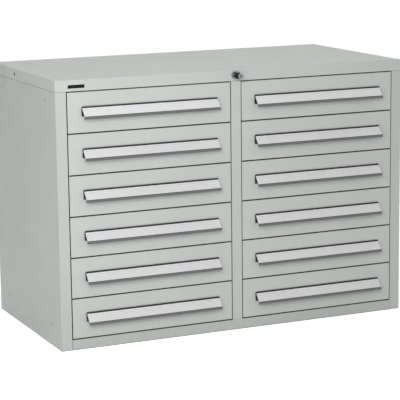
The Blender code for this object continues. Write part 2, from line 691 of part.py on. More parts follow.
def build_lock():
    axis = joint_origin("lock", (0, FRONT_Y, LOCK_Z))
    place("lock_housing", lock_housing_mesh(), LOCK_CHROME, axis)
    place("lock_plunger", lock_plunger_mesh(), LOCK_CHROME, axis)
    place("lock_core", lock_core_mesh(), LOCK_STEEL, axis)
    bar_line = joint_origin("lock_bar_line", (0, FRONT_Y + BAR_BEHIND_FRONT, 0))
    place("lock_bar", lock_bar_mesh(), ZINC_STEEL, bar_line)


build_housing()
build_drawers()
build_lock()
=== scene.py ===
import json
import math

import bmesh
import bpy
from mathutils import Matrix, Vector

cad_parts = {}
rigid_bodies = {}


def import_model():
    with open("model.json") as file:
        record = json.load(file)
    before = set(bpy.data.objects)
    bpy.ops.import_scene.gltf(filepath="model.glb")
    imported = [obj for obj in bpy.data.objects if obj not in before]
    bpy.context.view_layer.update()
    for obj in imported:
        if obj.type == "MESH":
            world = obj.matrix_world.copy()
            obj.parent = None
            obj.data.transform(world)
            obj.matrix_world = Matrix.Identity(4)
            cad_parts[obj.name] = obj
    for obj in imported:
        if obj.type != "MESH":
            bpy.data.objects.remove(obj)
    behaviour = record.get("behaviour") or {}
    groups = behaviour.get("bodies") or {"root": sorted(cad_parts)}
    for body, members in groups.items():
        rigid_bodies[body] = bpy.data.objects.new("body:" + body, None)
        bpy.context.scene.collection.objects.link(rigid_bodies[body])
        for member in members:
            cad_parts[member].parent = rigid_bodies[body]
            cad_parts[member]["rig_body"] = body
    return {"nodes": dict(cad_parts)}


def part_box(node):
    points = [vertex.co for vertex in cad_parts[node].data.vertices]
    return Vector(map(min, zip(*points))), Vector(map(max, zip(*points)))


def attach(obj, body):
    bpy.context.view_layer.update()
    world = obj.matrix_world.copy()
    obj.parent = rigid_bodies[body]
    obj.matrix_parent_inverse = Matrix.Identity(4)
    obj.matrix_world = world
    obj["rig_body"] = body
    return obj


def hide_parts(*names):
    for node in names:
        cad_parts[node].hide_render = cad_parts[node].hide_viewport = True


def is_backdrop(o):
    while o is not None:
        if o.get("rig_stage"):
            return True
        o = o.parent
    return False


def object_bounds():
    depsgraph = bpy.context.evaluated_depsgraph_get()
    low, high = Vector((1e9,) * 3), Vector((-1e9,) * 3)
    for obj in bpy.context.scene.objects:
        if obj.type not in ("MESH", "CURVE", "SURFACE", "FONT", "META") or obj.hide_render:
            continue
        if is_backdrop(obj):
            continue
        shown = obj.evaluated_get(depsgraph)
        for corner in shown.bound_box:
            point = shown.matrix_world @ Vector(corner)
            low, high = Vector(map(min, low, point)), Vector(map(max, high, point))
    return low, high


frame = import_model()
cad_low, cad_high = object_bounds()


# Camera
# It stands in front of the cabinet's left end, a little above the cover, and looks at the middle of
# the housing through a long lens.
bpy.ops.object.select_all(action="DESELECT")
side_low, side_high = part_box("left_side_panel")
CAMERA_AZIMUTH = math.radians(-24.22)
CAMERA_ELEVATION = math.radians(10.72)
CAMERA_ROLL = math.radians(-0.68)
CAMERA_DISTANCE = 6.798
CAMERA_LENS = 153.86
CAMERA_SENSOR = 36
CAMERA_REACH = 100
AIM_RIGHT = 0.0096
AIM_UP = -0.0553
housing_middle = Vector((0, (side_low.y + side_high.y) / 2, cad_high.z / 2))
camera_back = Vector((math.sin(CAMERA_AZIMUTH) * math.cos(CAMERA_ELEVATION),
                      -math.cos(CAMERA_AZIMUTH) * math.cos(CAMERA_ELEVATION),
                      math.sin(CAMERA_ELEVATION)))
camera_right = Vector((0, 0, 1)).cross(camera_back).normalized()
camera_up = camera_back.cross(camera_right)
aim = housing_middle + camera_right * AIM_RIGHT + camera_up * AIM_UP
bpy.ops.object.camera_add(location=aim + camera_back * CAMERA_DISTANCE)
camera = bpy.context.object
camera.name = "camera"
turned_right = camera_right * math.cos(CAMERA_ROLL) + camera_up * math.sin(CAMERA_ROLL)
turned_up = camera_back.cross(turned_right)
camera.rotation_euler = Matrix((turned_right, turned_up, camera_back)).transposed().to_euler()
camera.data.lens = CAMERA_LENS
camera.data.sensor_width = CAMERA_SENSOR
camera.data.clip_end = CAMERA_REACH
bpy.context.scene.camera = camera


# Studio
# A white floor that keeps a soft shadow, an even white surround, a large soft light in front of the
# left bay, a weaker one over the cover, and a low one behind the back sheet.
bpy.context.scene.view_settings.view_transform = "Standard"
world = bpy.data.worlds.new("studio_surround")
bpy.context.scene.world = world
world.use_nodes = True
world_nodes = world.node_tree.nodes
world_links = world.node_tree.links
surround = world_nodes["Background"]
surround.inputs["Color"].default_value = (1, 1, 1, 1)


def seen_directly(nodes, links):
    """1 for rays from the camera, a mirror or clear plastic, and 0 for rays that light things."""
    ray = nodes.new("ShaderNodeLightPath")
    total = ray.outputs["Is Camera Ray"]
    for kind in ("Is Glossy Ray", "Is Transmission Ray"):
        either = nodes.new("ShaderNodeMath")
        either.operation = "MAXIMUM"
        links.new(total, either.inputs[0])
        links.new(ray.outputs[kind], either.inputs[1])
        total = either.outputs[0]
    return total


SURROUND_LIGHTS = 0.40
SURROUND_SEEN = 1
level = world_nodes.new("ShaderNodeMapRange")
level.inputs["To Min"].default_value = SURROUND_LIGHTS
level.inputs["To Max"].default_value = SURROUND_SEEN
world_links.new(seen_directly(world_nodes, world_links), level.inputs["Value"])
world_links.new(level.outputs[0], surround.inputs["Strength"])

FLOOR_SIZE = 120
FLOOR_DROP = 0.0005
FLOOR_GLOW = 0.68
bpy.ops.mesh.primitive_plane_add(size=FLOOR_SIZE, location=(0, 0, -FLOOR_DROP))
floor = bpy.context.object
floor.name = "floor"
floor_finish = bpy.data.materials.new("white_floor")
floor_finish.use_nodes = True
floor_nodes = floor_finish.node_tree.nodes
floor_links = floor_finish.node_tree.links
floor_shader = floor_nodes["Principled BSDF"]
floor_shader.inputs["Base Color"].default_value = (0.86, 0.86, 0.86, 1)
floor_shader.inputs["Roughness"].default_value = 0.9
floor_shader.inputs["Specular IOR Level"].default_value = 0.1
floor_shader.inputs["Emission Color"].default_value = (1, 1, 1, 1)
floor_glow = floor_nodes.new("ShaderNodeMath")
floor_glow.operation = "MULTIPLY"
floor_glow.inputs[1].default_value = FLOOR_GLOW
floor_links.new(seen_directly(floor_nodes, floor_links), floor_glow.inputs[0])
floor_links.new(floor_glow.outputs[0], floor_shader.inputs["Emission Strength"])
floor.data.materials.append(floor_finish)
floor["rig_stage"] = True


def soft_light(name, location, towards, size, watts):
    bpy.ops.object.light_add(type="AREA", location=location)
    lamp = bpy.context.object
    lamp.name = name
    lamp.data.shape = "SQUARE"
    lamp.data.size = size
    lamp.data.energy = watts
    lamp.visible_camera = False
    lamp.rotation_euler = (Vector(location) - Vector(towards)).to_track_quat("Z", "Y").to_euler()


soft_light("front_left_light", (-1.8, -3.1, 1.8), (-0.5, 0, 0.6), 1.8, 72)
soft_light("overhead_light", (0.2, 0.3, 3.3), (0, 0, 1), 2.4, 15)
soft_light("rear_light", (0.5, 3.3, 0.5), (0.2, 0.385, 0.5), 0.8, 32)


# Sheet paint
# Powder coat on all the folded steel: light grey with a fine orange-peel skin, a little uneven in
# tone and gloss, rubbed slightly paler along its edges, and with painted shade darkening its narrow
# gaps.
class Finish:
    """A material laid out by the object's own coordinates, with the steps that all share."""

    def __init__(self, name):
        self.material = bpy.data.materials.new(name)
        self.material.use_nodes = True
        self.nodes = self.material.node_tree.nodes
        self.links = self.material.node_tree.links
        self.shader = self.nodes["Principled BSDF"]
        self.where = self.nodes.new("ShaderNodeTexCoord").outputs["Object"]

    def feed(self, entry, value):
        """Joins a value to one of the shader's inputs."""
        self.links.new(value, self.shader.inputs[entry])

    def noise(self, scale, detail=2, stretch=None):
        """Soft noise, with its scale along X, Y and Z multiplied by stretch if there is one."""
        where = self.where
        if stretch:
            mapping = self.nodes.new("ShaderNodeMapping")
            mapping.inputs["Scale"].default_value = stretch
            self.links.new(where, mapping.inputs["Vector"])
            where = mapping.outputs["Vector"]
        texture = self.nodes.new("ShaderNodeTexNoise")
        texture.inputs["Scale"].default_value = scale
        texture.inputs["Detail"].default_value = detail
        self.links.new(where, texture.inputs["Vector"])
        return texture.outputs["Fac"]

    def ranged(self, value, low, high, start=0.0, end=1.0):
        """Low where the value is start, high where it is end, and even steps between."""
        convert = self.nodes.new("ShaderNodeMapRange")
        convert.inputs["From Min"].default_value = start
        convert.inputs["From Max"].default_value = end
        convert.inputs["To Min"].default_value = low
        convert.inputs["To Max"].default_value = high
        self.links.new(value, convert.inputs["Value"])
        return convert.outputs[0]

    def ramp(self, value, first, last, start=0.0, end=1.0):
        """The first colour where the value is start, the last where it is end."""
        tint = self.nodes.new("ShaderNodeValToRGB")
        for stop, position, colour in zip(tint.color_ramp.elements, (start, end), (first, last)):
            stop.position = position
            stop.color = (*colour, 1)
        self.links.new(value, tint.inputs["Fac"])
        return tint.outputs["Color"]

    def mixed(self, amount, first, second):
        """Two colours, plain or from other nodes, mixed by the amount of the second."""
        mix = self.nodes.new("ShaderNodeMix")
        mix.data_type = "RGBA"
        for value, number in ((amount, 0), (first, 6), (second, 7)):
            if isinstance(value, tuple):
                mix.inputs[number].default_value = (*value, 1)
            else:
                self.links.new(value, mix.inputs[number])
        return mix.outputs[2]

    def open_air(self, reach, closed, clear):
        """0 where the air within reach is as closed in as said, and 1 where it is clear: the mask
        of painted shade.
        """
        crevice = self.nodes.new("ShaderNodeAmbientOcclusion")
        crevice.samples = 6
        crevice.inputs["Distance"].default_value = reach
        return self.ranged(crevice.outputs["AO"], 0, 1, closed, clear)

    def roughen(self, height, strength, depth, over=None):
        """A fine relief, laid over a softened normal if there is one."""
        bump = self.nodes.new("ShaderNodeBump")
        bump.inputs["Strength"].default_value = strength
        bump.inputs["Distance"].default_value = depth
        self.links.new(height, bump.inputs["Height"])
        if over:
            self.links.new(over, bump.inputs["Normal"])
        self.feed("Normal", bump.outputs["Normal"])


def shaded(colour, factor):
    """A darker or paler tone of a colour."""
    return tuple(min(1, channel * factor) for channel in colour)


CLOUD_SCALE = 2.2
CLOUD_TONE = 0.96
WEAR_SCALE = 38
WEAR_TONE = 1.16
WEAR_AMOUNT = 0.5
EDGE_RADIUS = 0.0012
GAP_CLOSED = 0.48
GAP_CLEAR = 0.82
GLOSS_SCALE = 14
PEEL_SCALE = 520
PEEL_DEPTH = 0.0004


def paint(name, colour, roughness, peel=0.10, gap_shade_reach=0.008, gap_shade_tone=0.06):
    coat = Finish(name)
    cloudy = coat.mixed(coat.ranged(coat.noise(CLOUD_SCALE, 4), 0, 1, 0.35, 0.65),
                        shaded(colour, CLOUD_TONE), colour)
    rounding = coat.nodes.new("ShaderNodeBevel")
    rounding.samples = 4
    rounding.inputs["Radius"].default_value = EDGE_RADIUS
    shape = coat.nodes.new("ShaderNodeNewGeometry")
    likeness = coat.nodes.new("ShaderNodeVectorMath")
    likeness.operation = "DOT_PRODUCT"
    coat.links.new(rounding.outputs["Normal"], likeness.inputs[0])
    coat.links.new(shape.outputs["Normal"], likeness.inputs[1])
    edge = coat.ranged(likeness.outputs["Value"], 1, 0, 0.75, 0.985)
    patchy = coat.ranged(coat.noise(WEAR_SCALE, 6), 0, WEAR_AMOUNT, 0.42, 0.7)
    worn = coat.nodes.new("ShaderNodeMath")
    worn.operation = "MULTIPLY"
    coat.links.new(edge, worn.inputs[0])
    coat.links.new(patchy, worn.inputs[1])
    # Painted shade: the colour darkens towards the gap tone in gaps and hollows within reach.
    air = coat.open_air(gap_shade_reach, GAP_CLOSED, GAP_CLEAR)
    aged = coat.mixed(worn.outputs[0], cloudy, shaded(colour, WEAR_TONE))
    coat.feed("Base Color", coat.mixed(air, shaded(colour, gap_shade_tone), aged))
    coat.feed("Roughness", coat.ranged(coat.noise(GLOSS_SCALE, 5),
                                       roughness - 0.05, roughness + 0.06, 0.3, 0.7))
    coat.roughen(coat.noise(PEEL_SCALE), peel, PEEL_DEPTH, rounding.outputs["Normal"])
    coat.shader.inputs["Specular IOR Level"].default_value = 0.35
    return coat


housing_paint = paint("housing_paint", (0.545, 0.570, 0.545), 0.45, gap_shade_reach=0.006, gap_shade_tone=0.6)


def dress(node, finish):
    """Gives a solid that is shown as it is its finish."""
    for entry in frame["nodes"][node].material_slots:
        entry.material = finish.material


# Top cover
# A shallow lid of steel sheet with its edges folded down over the sides, pierced in front for the
# lock and in each end for the bolt that joins two cabinets.
def select_only(piece):
    bpy.ops.object.select_all(action="DESELECT")
    piece.select_set(True)
    bpy.context.view_layer.objects.active = piece


def start_box(name, low, high):
    """A box filling low to high, by itself in the selection and in edit mode."""
    bpy.ops.object.select_all(action="DESELECT")
    bpy.ops.mesh.primitive_cube_add(size=1, location=(Vector(low) + Vector(high)) / 2,
                                    scale=Vector(high) - Vector(low))
    piece = bpy.context.object
    piece.name = name
    bpy.ops.object.transform_apply(location=True, rotation=True, scale=True)
    bpy.ops.object.mode_set(mode="EDIT")
    return piece


def pick_faces(piece, wanted):
    """Selects the faces whose middle and normal are wanted."""
    bpy.ops.mesh.select_mode(type="FACE")
    bpy.ops.mesh.select_all(action="DESELECT")
    shape = bmesh.from_edit_mesh(piece.data)
    shape.normal_update()
    for face in shape.faces:
        if wanted(face.calc_center_median(), face.normal):
            face.select_set(True)
    bmesh.update_edit_mesh(piece.data)


def pick_edges(piece, wanted):
    """Selects the edges whose two ends are wanted."""
    bpy.ops.mesh.select_mode(type="EDGE")
    bpy.ops.mesh.select_all(action="DESELECT")
    shape = bmesh.from_edit_mesh(piece.data)
    for line in shape.edges:
        if wanted(line.verts[0].co, line.verts[1].co):
            line.select_set(True)
    bmesh.update_edit_mesh(piece.data)


def use_modifier(piece, kind, **settings):
    select_only(piece)
    bpy.ops.object.modifier_add(type=kind)
    modifier = piece.modifiers[-1]
    for setting, value in settings.items():
        setattr(modifier, setting, value)
    bpy.ops.object.modifier_apply(modifier=modifier.name)


SMOOTH_ANGLE = math.radians(30)


def smooth(piece):
    """Soft shading that leaves flat faces flat."""
    select_only(piece)
    bpy.ops.object.shade_smooth_by_angle(angle=SMOOTH_ANGLE)
    use_modifier(piece, "WEIGHTED_NORMAL", keep_sharp=True)


def drill(piece, radius, start, end, sides=48):
    """Cuts a round hole from start to end."""
    start, end = Vector(start), Vector(end)
    bpy.ops.object.select_all(action="DESELECT")
    bpy.ops.mesh.primitive_cylinder_add(vertices=sides, radius=radius, depth=(end - start).length,
                                        location=(start + end) / 2,
                                        rotation=(end - start).to_track_quat("Z", "Y").to_euler())
    drill_bit = bpy.context.object
    use_modifier(piece, "BOOLEAN", operation="DIFFERENCE", object=drill_bit, solver="EXACT")
    bpy.data.objects.remove(drill_bit)


def outfit(piece, finish, body, slot, *nodes):
    """Gives a finished piece its material, its body and the solids it stands for."""
    piece.data.materials.clear()
    piece.data.materials.append(finish.material)
    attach(piece, body)
    if nodes:
        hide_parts(*nodes)


SHEET = 0.0015


def thicken(piece):
    """Ends the folding of a surface and gives it the sheet's thickness, inwards."""
    bpy.ops.object.mode_set(mode="OBJECT")
    use_modifier(piece, "SOLIDIFY", thickness=SHEET, offset=-1, use_even_offset=True)


COVER_FOLD = 0.003
LOCK_HOLE_RADIUS = 0.0128
BOLT_HOLE_RADIUS = 0.007
BOLT_FROM_BACK = 0.267
CUT_SPARE = 0.004
FACING = 0.9
cover_low, cover_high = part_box("top_cover")
cover = start_box("folded_top_cover", cover_low, cover_high)
pick_faces(cover, lambda middle, normal: normal.z < -FACING)
bpy.ops.mesh.delete(type="FACE")
pick_edges(cover, lambda a, b: max(a.z, b.z) > cover_high.z - SHEET)
bpy.ops.mesh.bevel(offset=COVER_FOLD, segments=5, affect="EDGES")
thicken(cover)
sleeve_low, sleeve_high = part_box("lock_housing")
lock_axis = (sleeve_low.z + sleeve_high.z) / 2
bolt_depth = cover_high.y - BOLT_FROM_BACK
drill(cover, LOCK_HOLE_RADIUS, (0, cover_low.y - CUT_SPARE, lock_axis),
      (0, cover_low.y + CUT_SPARE, lock_axis))
for end in (cover_low.x, cover_high.x):
    drill(cover, BOLT_HOLE_RADIUS, (end - CUT_SPARE, bolt_depth, lock_axis),
          (end + CUT_SPARE, bolt_depth, lock_axis))
smooth(cover)
outfit(cover, housing_paint, "cabinet", "housing_paint", "top_cover")


# Side panels
# Each side is one sheet with the front stile, its return and the rear flange folded from it. Four
# holes in the side take flush plugs, and five in the rear flange take the screws of the back sheet.
def both_at(a, b, x):
    """Whether two ends lie in the upright plane at x."""
    return max(abs(a.x - x), abs(b.x - x)) < SHEET


SIDES = ((-1, "left"), (1, "right"))
STILE_RETURN = 0.015
SIDE_FOLD = 0.002
PLUG_HOLE_RADIUS = 0.0042
PLUG_SIDES = 24
PLUG_INSET = 0.113
PLUG_HEIGHTS = (0.080, 0.917)
SCREW_HOLE_RADIUS = 0.0048
SCREW_SIDES = 32
SCREW_HEIGHTS = (0.10, 0.29, 0.48, 0.67, 0.86)
# The sides' coat is a darker copy of the housing paint: painted shade for the weaker light on the
# sides.
side_paint_with_painted_shade = paint("side_paint_with_painted_shade", (0.520, 0.544, 0.520), 0.45, gap_shade_reach=0.006, gap_shade_tone=0.6)
for side, hand in SIDES:
    node = f"{hand}_side_panel"
    low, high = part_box(node)
    outside = low.x if side < 0 else high.x
    inside = high.x if side < 0 else low.x
    panel = start_box("folded_" + node, low, high)
    pick_faces(panel, lambda middle, normal: abs(normal.z) > FACING or normal.x * side < -FACING)
    bpy.ops.mesh.delete(type="FACE")
    pick_edges(panel, lambda a, b: both_at(a, b, inside) and max(a.y, b.y) < low.y + SHEET)
    bpy.ops.mesh.extrude_edges_move(TRANSFORM_OT_translate={"value": (0, STILE_RETURN, 0)})
    pick_edges(panel, lambda a, b: abs(a.z - b.z) > SHEET and (
        both_at(a, b, outside)
        or (both_at(a, b, inside) and max(a.y, b.y) < low.y + SHEET)))
    bpy.ops.mesh.bevel(offset=SIDE_FOLD, segments=4, affect="EDGES")
    thicken(panel)
    for height in PLUG_HEIGHTS:
        for depth in (low.y + PLUG_INSET, high.y - PLUG_INSET):
            drill(panel, PLUG_HOLE_RADIUS, (outside - CUT_SPARE, depth, height),
                  (outside + CUT_SPARE, depth, height), PLUG_SIDES)
    for height in SCREW_HEIGHTS:
        drill(panel, SCREW_HOLE_RADIUS, ((low.x + high.x) / 2, high.y - CUT_SPARE, height),
              ((low.x + high.x) / 2, high.y + CUT_SPARE, height), SCREW_SIDES)
    smooth(panel)
    outfit(panel, side_paint_with_painted_shade, "cabinet", "housing_paint", node)


# Side plugs
# Small grey plastic buttons close the four assembly holes of each side. They are pushed in a hair
# deeper than the sheet's face and have a rounded edge and a shallow dish.
PLUG_RADIUS = 0.004
PLUG_SUNK = 0.0002
PLUG_LENGTH = 0.003
PLUG_ROUNDING = 0.0008
PLUG_RIM = 0.001
PLUG_DISH = 0.0004
SQUARE_ON = 0.99
plug_grey = paint("plug_grey", (0.23, 0.245, 0.235), 0.5, peel=0.03)
for side, hand in SIDES:
    low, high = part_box(f"{hand}_side_panel")
    outside = low.x if side < 0 else high.x
    for row, height in zip(("lower", "upper"), PLUG_HEIGHTS):
        for place, depth in (("front", low.y + PLUG_INSET), ("rear", high.y - PLUG_INSET)):
            bpy.ops.object.select_all(action="DESELECT")
            bpy.ops.mesh.primitive_cylinder_add(
                vertices=PLUG_SIDES, radius=PLUG_RADIUS, depth=PLUG_LENGTH,
                rotation=(0, math.pi / 2, 0),
                location=(outside - side * (PLUG_SUNK + PLUG_LENGTH / 2), depth, height))
            plug = bpy.context.object
            plug.name = f"{hand}_{row}_{place}_plug"
            bpy.ops.object.transform_apply(location=True, rotation=True, scale=True)
            bpy.ops.object.mode_set(mode="EDIT")
            pick_faces(plug, lambda middle, normal: normal.x * side > FACING)
            bpy.ops.mesh.bevel(offset=PLUG_ROUNDING, segments=3, affect="EDGES")
            pick_faces(plug, lambda middle, normal: normal.x * side > SQUARE_ON)
            bpy.ops.mesh.inset(thickness=PLUG_RIM, depth=-PLUG_DISH)
            bpy.ops.object.mode_set(mode="OBJECT")
            smooth(plug)
            outfit(plug, plug_grey, "cabinet", "fastener_steel")


# Plain housing sheets
# The centre partition, the base frame and the back sheet keep the shape they are folded to. The
# frame and the back have a darker copy of the housing paint as painted shade, and darker painted
# shade in their narrow gaps.
dress("centre_partition", housing_paint)
frame_paint_with_painted_shade = paint("frame_paint_with_painted_shade", (0.500, 0.523, 0.500), 0.45, gap_shade_tone=0.3)
for node in ("base_frame", "back_panel"):
    dress(node, frame_paint_with_painted_shade)


# Slide steel
# The runner racks, the carriages and the lock bar are zinc plated: bluish bright steel with a soft
# mottle and faint drawing lines along the drawers' travel.
MOTTLE_SCALE = 55
DRAWN_LINES = (900, 6, 900)
LINE_DEPTH = 0.0002
zinc_steel = Finish("zinc_plate")
zinc_steel.shader.inputs["Metallic"].default_value = 1
mottle = zinc_steel.noise(MOTTLE_SCALE, 4)
zinc_steel.feed("Base Color", zinc_steel.ramp(mottle, (0.31, 0.325, 0.35), (0.44, 0.45, 0.465),
                                              0.35, 0.68))
lines = zinc_steel.noise(1, 3, DRAWN_LINES)
zinc_steel.feed("Roughness", zinc_steel.ranged(lines, 0.28, 0.46, 0.3, 0.7))
zinc_steel.roughen(lines, 0.12, LINE_DEPTH)
for node in frame["nodes"]:
    if node.endswith(("_runner_rack", "_carriage")) or node == "lock_bar":
        dress(node, zinc_steel)


# Drawer trays
# Open steel trays with a folded rim, spot welded to their slide members. They are painted like the
# housing but a shade duller.
tray_paint = paint("tray_paint", (0.50, 0.525, 0.505), 0.5, peel=0.12,
                   gap_shade_reach=0.006, gap_shade_tone=0.6)
for node in frame["nodes"]:
    if node.endswith("_tray"):
        dress(node, tray_paint)


# Drawer fronts
# Pan-shaped fronts, each one sheet with all four edges folded back and a small radius on every
# fold. The first is modelled, and the others are copies of it.
def copy_to(model, name, shift):
    """A copy of a finished model with its own mesh, moved by shift."""
    select_only(model)
    bpy.ops.object.duplicate(linked=False)
    piece = bpy.context.object
    piece.name = name
    bpy.ops.transform.translate(value=shift)
    bpy.ops.object.transform_apply(location=True, rotation=True, scale=True)
    return piece


def to_all_drawers(model, part, finish, slot, *stands_for):
    """Copies what was modelled for the first drawer to all of them, and clears the model away."""
    for drawer in drawers:
        piece = copy_to(model, f"{drawer}_{part}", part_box(drawer + "_front")[0] - first_low)
        outfit(piece, finish, drawer, slot, *(f"{drawer}_{node}" for node in stands_for))
    bpy.data.objects.remove(model)


FRONT_FOLD = 0.002
drawers = [f"{bay}_drawer_{row}" for bay in ("left", "right") for row in range(1, 7)]
first_low, first_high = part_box(drawers[0] + "_front")
front_model = start_box("drawer_front_model", first_low, first_high)
pick_faces(front_model, lambda middle, normal: normal.y > FACING)
bpy.ops.mesh.delete(type="FACE")
pick_edges(front_model, lambda a, b: min(a.y, b.y) < first_low.y + SHEET)
bpy.ops.mesh.bevel(offset=FRONT_FOLD, segments=5, affect="EDGES")
thicken(front_model)
smooth(front_model)
# Painted shade: the default gap tone turns the folded edges inside the gaps between fronts nearly
# black.
drawer_paint = paint("drawer_paint", (0.56, 0.58, 0.555), 0.42)
to_all_drawers(front_model, "pan_front", drawer_paint, "drawer_paint", "front")


# Pulls
# Satin grey extrusions: a flange on the front, a slot, a sloping face with a shallow recess for the
# label carrier, and a rolled lip for the fingers. Both ends are sawn square.
PULL_SEAT = 0.0003
PULL_WALL = 0.0015
PULL_SLOT = 0.0035
PULL_ROUNDING = 0.0003
SLOT_DEPTH = 0.009
FLANGE_RISE = 0.005
FLANGE_DROP = 0.030
FACE_DROP = 0.031
FACE_REACH = 0.0275
FACE_WALL = 0.0024
RECESS = 0.0009
RIM = 0.0035
NOSE_RADIUS = 0.003
NOSE_STEPS = 10
LIP = 0.005
LIP_TURN = math.radians(95)
pull_low, pull_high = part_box(drawers[0] + "_handle")
pull_line = pull_high.z - FLANGE_RISE
flange_face = PULL_SEAT + PULL_WALL
face_length = math.hypot(FACE_REACH, FACE_DROP)
down_face = Vector((FACE_REACH, -FACE_DROP)) / face_length
out_of_face = Vector((-down_face.y, down_face.x))
face_top = Vector((flange_face + PULL_SLOT, 0))


def on_face(distance, depth):
    """A point so far down the sloping face and so deep behind it."""
    return face_top + down_face * distance - out_of_face * depth


def behind_face(height):
    """The point of the sloping wall's back at a height, over or under its top."""
    top = on_face(0, FACE_WALL)
    return Vector((top.x + (top.y - height) * FACE_REACH / FACE_DROP, height))


section = [Vector((PULL_SEAT, -FLANGE_DROP)), Vector((PULL_SEAT, FLANGE_RISE)),
           Vector((flange_face, FLANGE_RISE)), Vector((flange_face, -SLOT_DEPTH)),
           behind_face(-SLOT_DEPTH), on_face(0, FACE_WALL), on_face(0, 0), on_face(RIM, 0),
           on_face(RIM, RECESS), on_face(face_length - RIM, RECESS), on_face(face_length - RIM, 0)]
nose = on_face(face_length, NOSE_RADIUS)
first_turn = math.atan2(out_of_face.y, out_of_face.x)
for step in range(NOSE_STEPS + 1):
    turn = first_turn - LIP_TURN * step / NOSE_STEPS
    section.append(nose + NOSE_RADIUS * Vector((math.cos(turn), math.sin(turn))))
tip = section[-1] + LIP * Vector((math.sin(turn), -math.cos(turn)))
section += [tip, tip - FACE_WALL * Vector((math.cos(turn), math.sin(turn))),
            on_face(face_length, FACE_WALL), behind_face(-SLOT_DEPTH - PULL_WALL),
            Vector((flange_face, -SLOT_DEPTH - PULL_WALL)), Vector((flange_face, -FLANGE_DROP))]
MERGE_WITHIN = 0.00005
CORNER_ANGLE = math.radians(35)


def extrusion(name, points, low_x, high_x):
    """A bar along X, its section given as reach out of the front and height over the face's top."""
    outline = bpy.data.curves.new(name, "CURVE")
    outline.dimensions = "2D"
    outline.fill_mode = "BOTH"
    outline.extrude = (high_x - low_x) / 2
    line = outline.splines.new("POLY")
    line.points.add(len(points) - 1)
    for point, place in zip(line.points, points):
        point.co = (-place.x, place.y, 0, 1)
    line.use_cyclic_u = True
    bar = bpy.data.objects.new(name, outline)
    bpy.context.scene.collection.objects.link(bar)
    select_only(bar)
    bpy.ops.object.convert(target="MESH")
    bar = bpy.context.object
    bar.matrix_world = (Matrix.Translation(((low_x + high_x) / 2, first_low.y, pull_line))
                        @ Matrix(((0, 0, 1, 0), (1, 0, 0, 0), (0, 1, 0, 0), (0, 0, 0, 1))))
    bpy.ops.object.transform_apply(location=True, rotation=True, scale=True)
    bpy.ops.object.mode_set(mode="EDIT")
    bpy.ops.mesh.select_all(action="SELECT")
    bpy.ops.mesh.remove_doubles(threshold=MERGE_WITHIN)
    bpy.ops.mesh.normals_make_consistent(inside=False)
    bpy.ops.object.mode_set(mode="OBJECT")
    return bar


def break_edges(bar, width, segments):
    """Rounds the corners of a bar and leaves its gentle turns, then shades it softly."""
    use_modifier(bar, "BEVEL", width=width, segments=segments, limit_method="ANGLE",
                 angle_limit=CORNER_ANGLE, use_clamp_overlap=True)
    smooth(bar)


HOLLOW_REACH = 0.03
HOLLOW_SHADE_TONE = 0.04
TONE_SCALE = 9
TONE_LOW = 0.97
GRAIN = (12, 1400, 1400)
GRAIN_DEPTH = 0.0001


def lacquer(name, colour, roughness, closed=0.35, clear=0.85):
    """An even finish with a fine grain along the bar, with painted shade where the air is closed
    in.
    """
    coat = Finish(name)
    tint = coat.ramp(coat.noise(TONE_SCALE, 5), shaded(colour, TONE_LOW), colour, 0.35, 0.65)
    air = coat.open_air(HOLLOW_REACH, closed, clear)
    coat.feed("Base Color", coat.mixed(air, shaded(colour, HOLLOW_SHADE_TONE), tint))
    grain = coat.noise(1, stretch=GRAIN)
    coat.feed("Roughness", coat.ranged(grain, roughness - 0.05, roughness + 0.05))
    coat.roughen(grain, 0.08, GRAIN_DEPTH)
    return coat


pull_model = extrusion("pull_model", section, pull_low.x, pull_high.x)
break_edges(pull_model, PULL_ROUNDING, 2)
# Painted shade: the pull's colour darkens nearly to black in its finger hollow and slot.
pull_grey = lacquer("pull_grey", (0.13, 0.135, 0.135), 0.4, 0.62, 0.95)
to_all_drawers(pull_model, "pull", pull_grey, "handle_paint", "handle")


# Slot strips
# A black strip is pressed into the slot behind each pull's face. Its nose stands over the face's
# top
# edge: a dark piece put where the slot's shade falls, as painted shade.
STRIP_FREE = 0.0001
STRIP_RISE = 0.0046
STRIP_NOSE = 0.0028
STRIP_ROOT = 0.0014
STRIP_FILLET = 0.001
STRIP_ROUNDING = 0.0004
strip_back = flange_face + STRIP_FREE
strip_section = [Vector((strip_back, STRIP_FREE - SLOT_DEPTH)), Vector((strip_back, STRIP_RISE)),
                 Vector((strip_back + STRIP_NOSE, STRIP_RISE)),
                 Vector((strip_back + STRIP_NOSE, STRIP_FREE)),
                 Vector((strip_back + STRIP_ROOT, STRIP_FREE - STRIP_FILLET)),
                 Vector((strip_back + STRIP_ROOT, STRIP_FREE - SLOT_DEPTH))]
strip_model = extrusion("strip_model", strip_section,
                        pull_low.x + STRIP_RISE, pull_high.x - STRIP_FREE)
break_edges(strip_model, STRIP_ROUNDING, 3)
slot_shade_black = lacquer("slot_shade_black", (0.016, 0.016, 0.017), 0.7)
to_all_drawers(strip_model, "slot_strip", slot_shade_black, "name_plate")


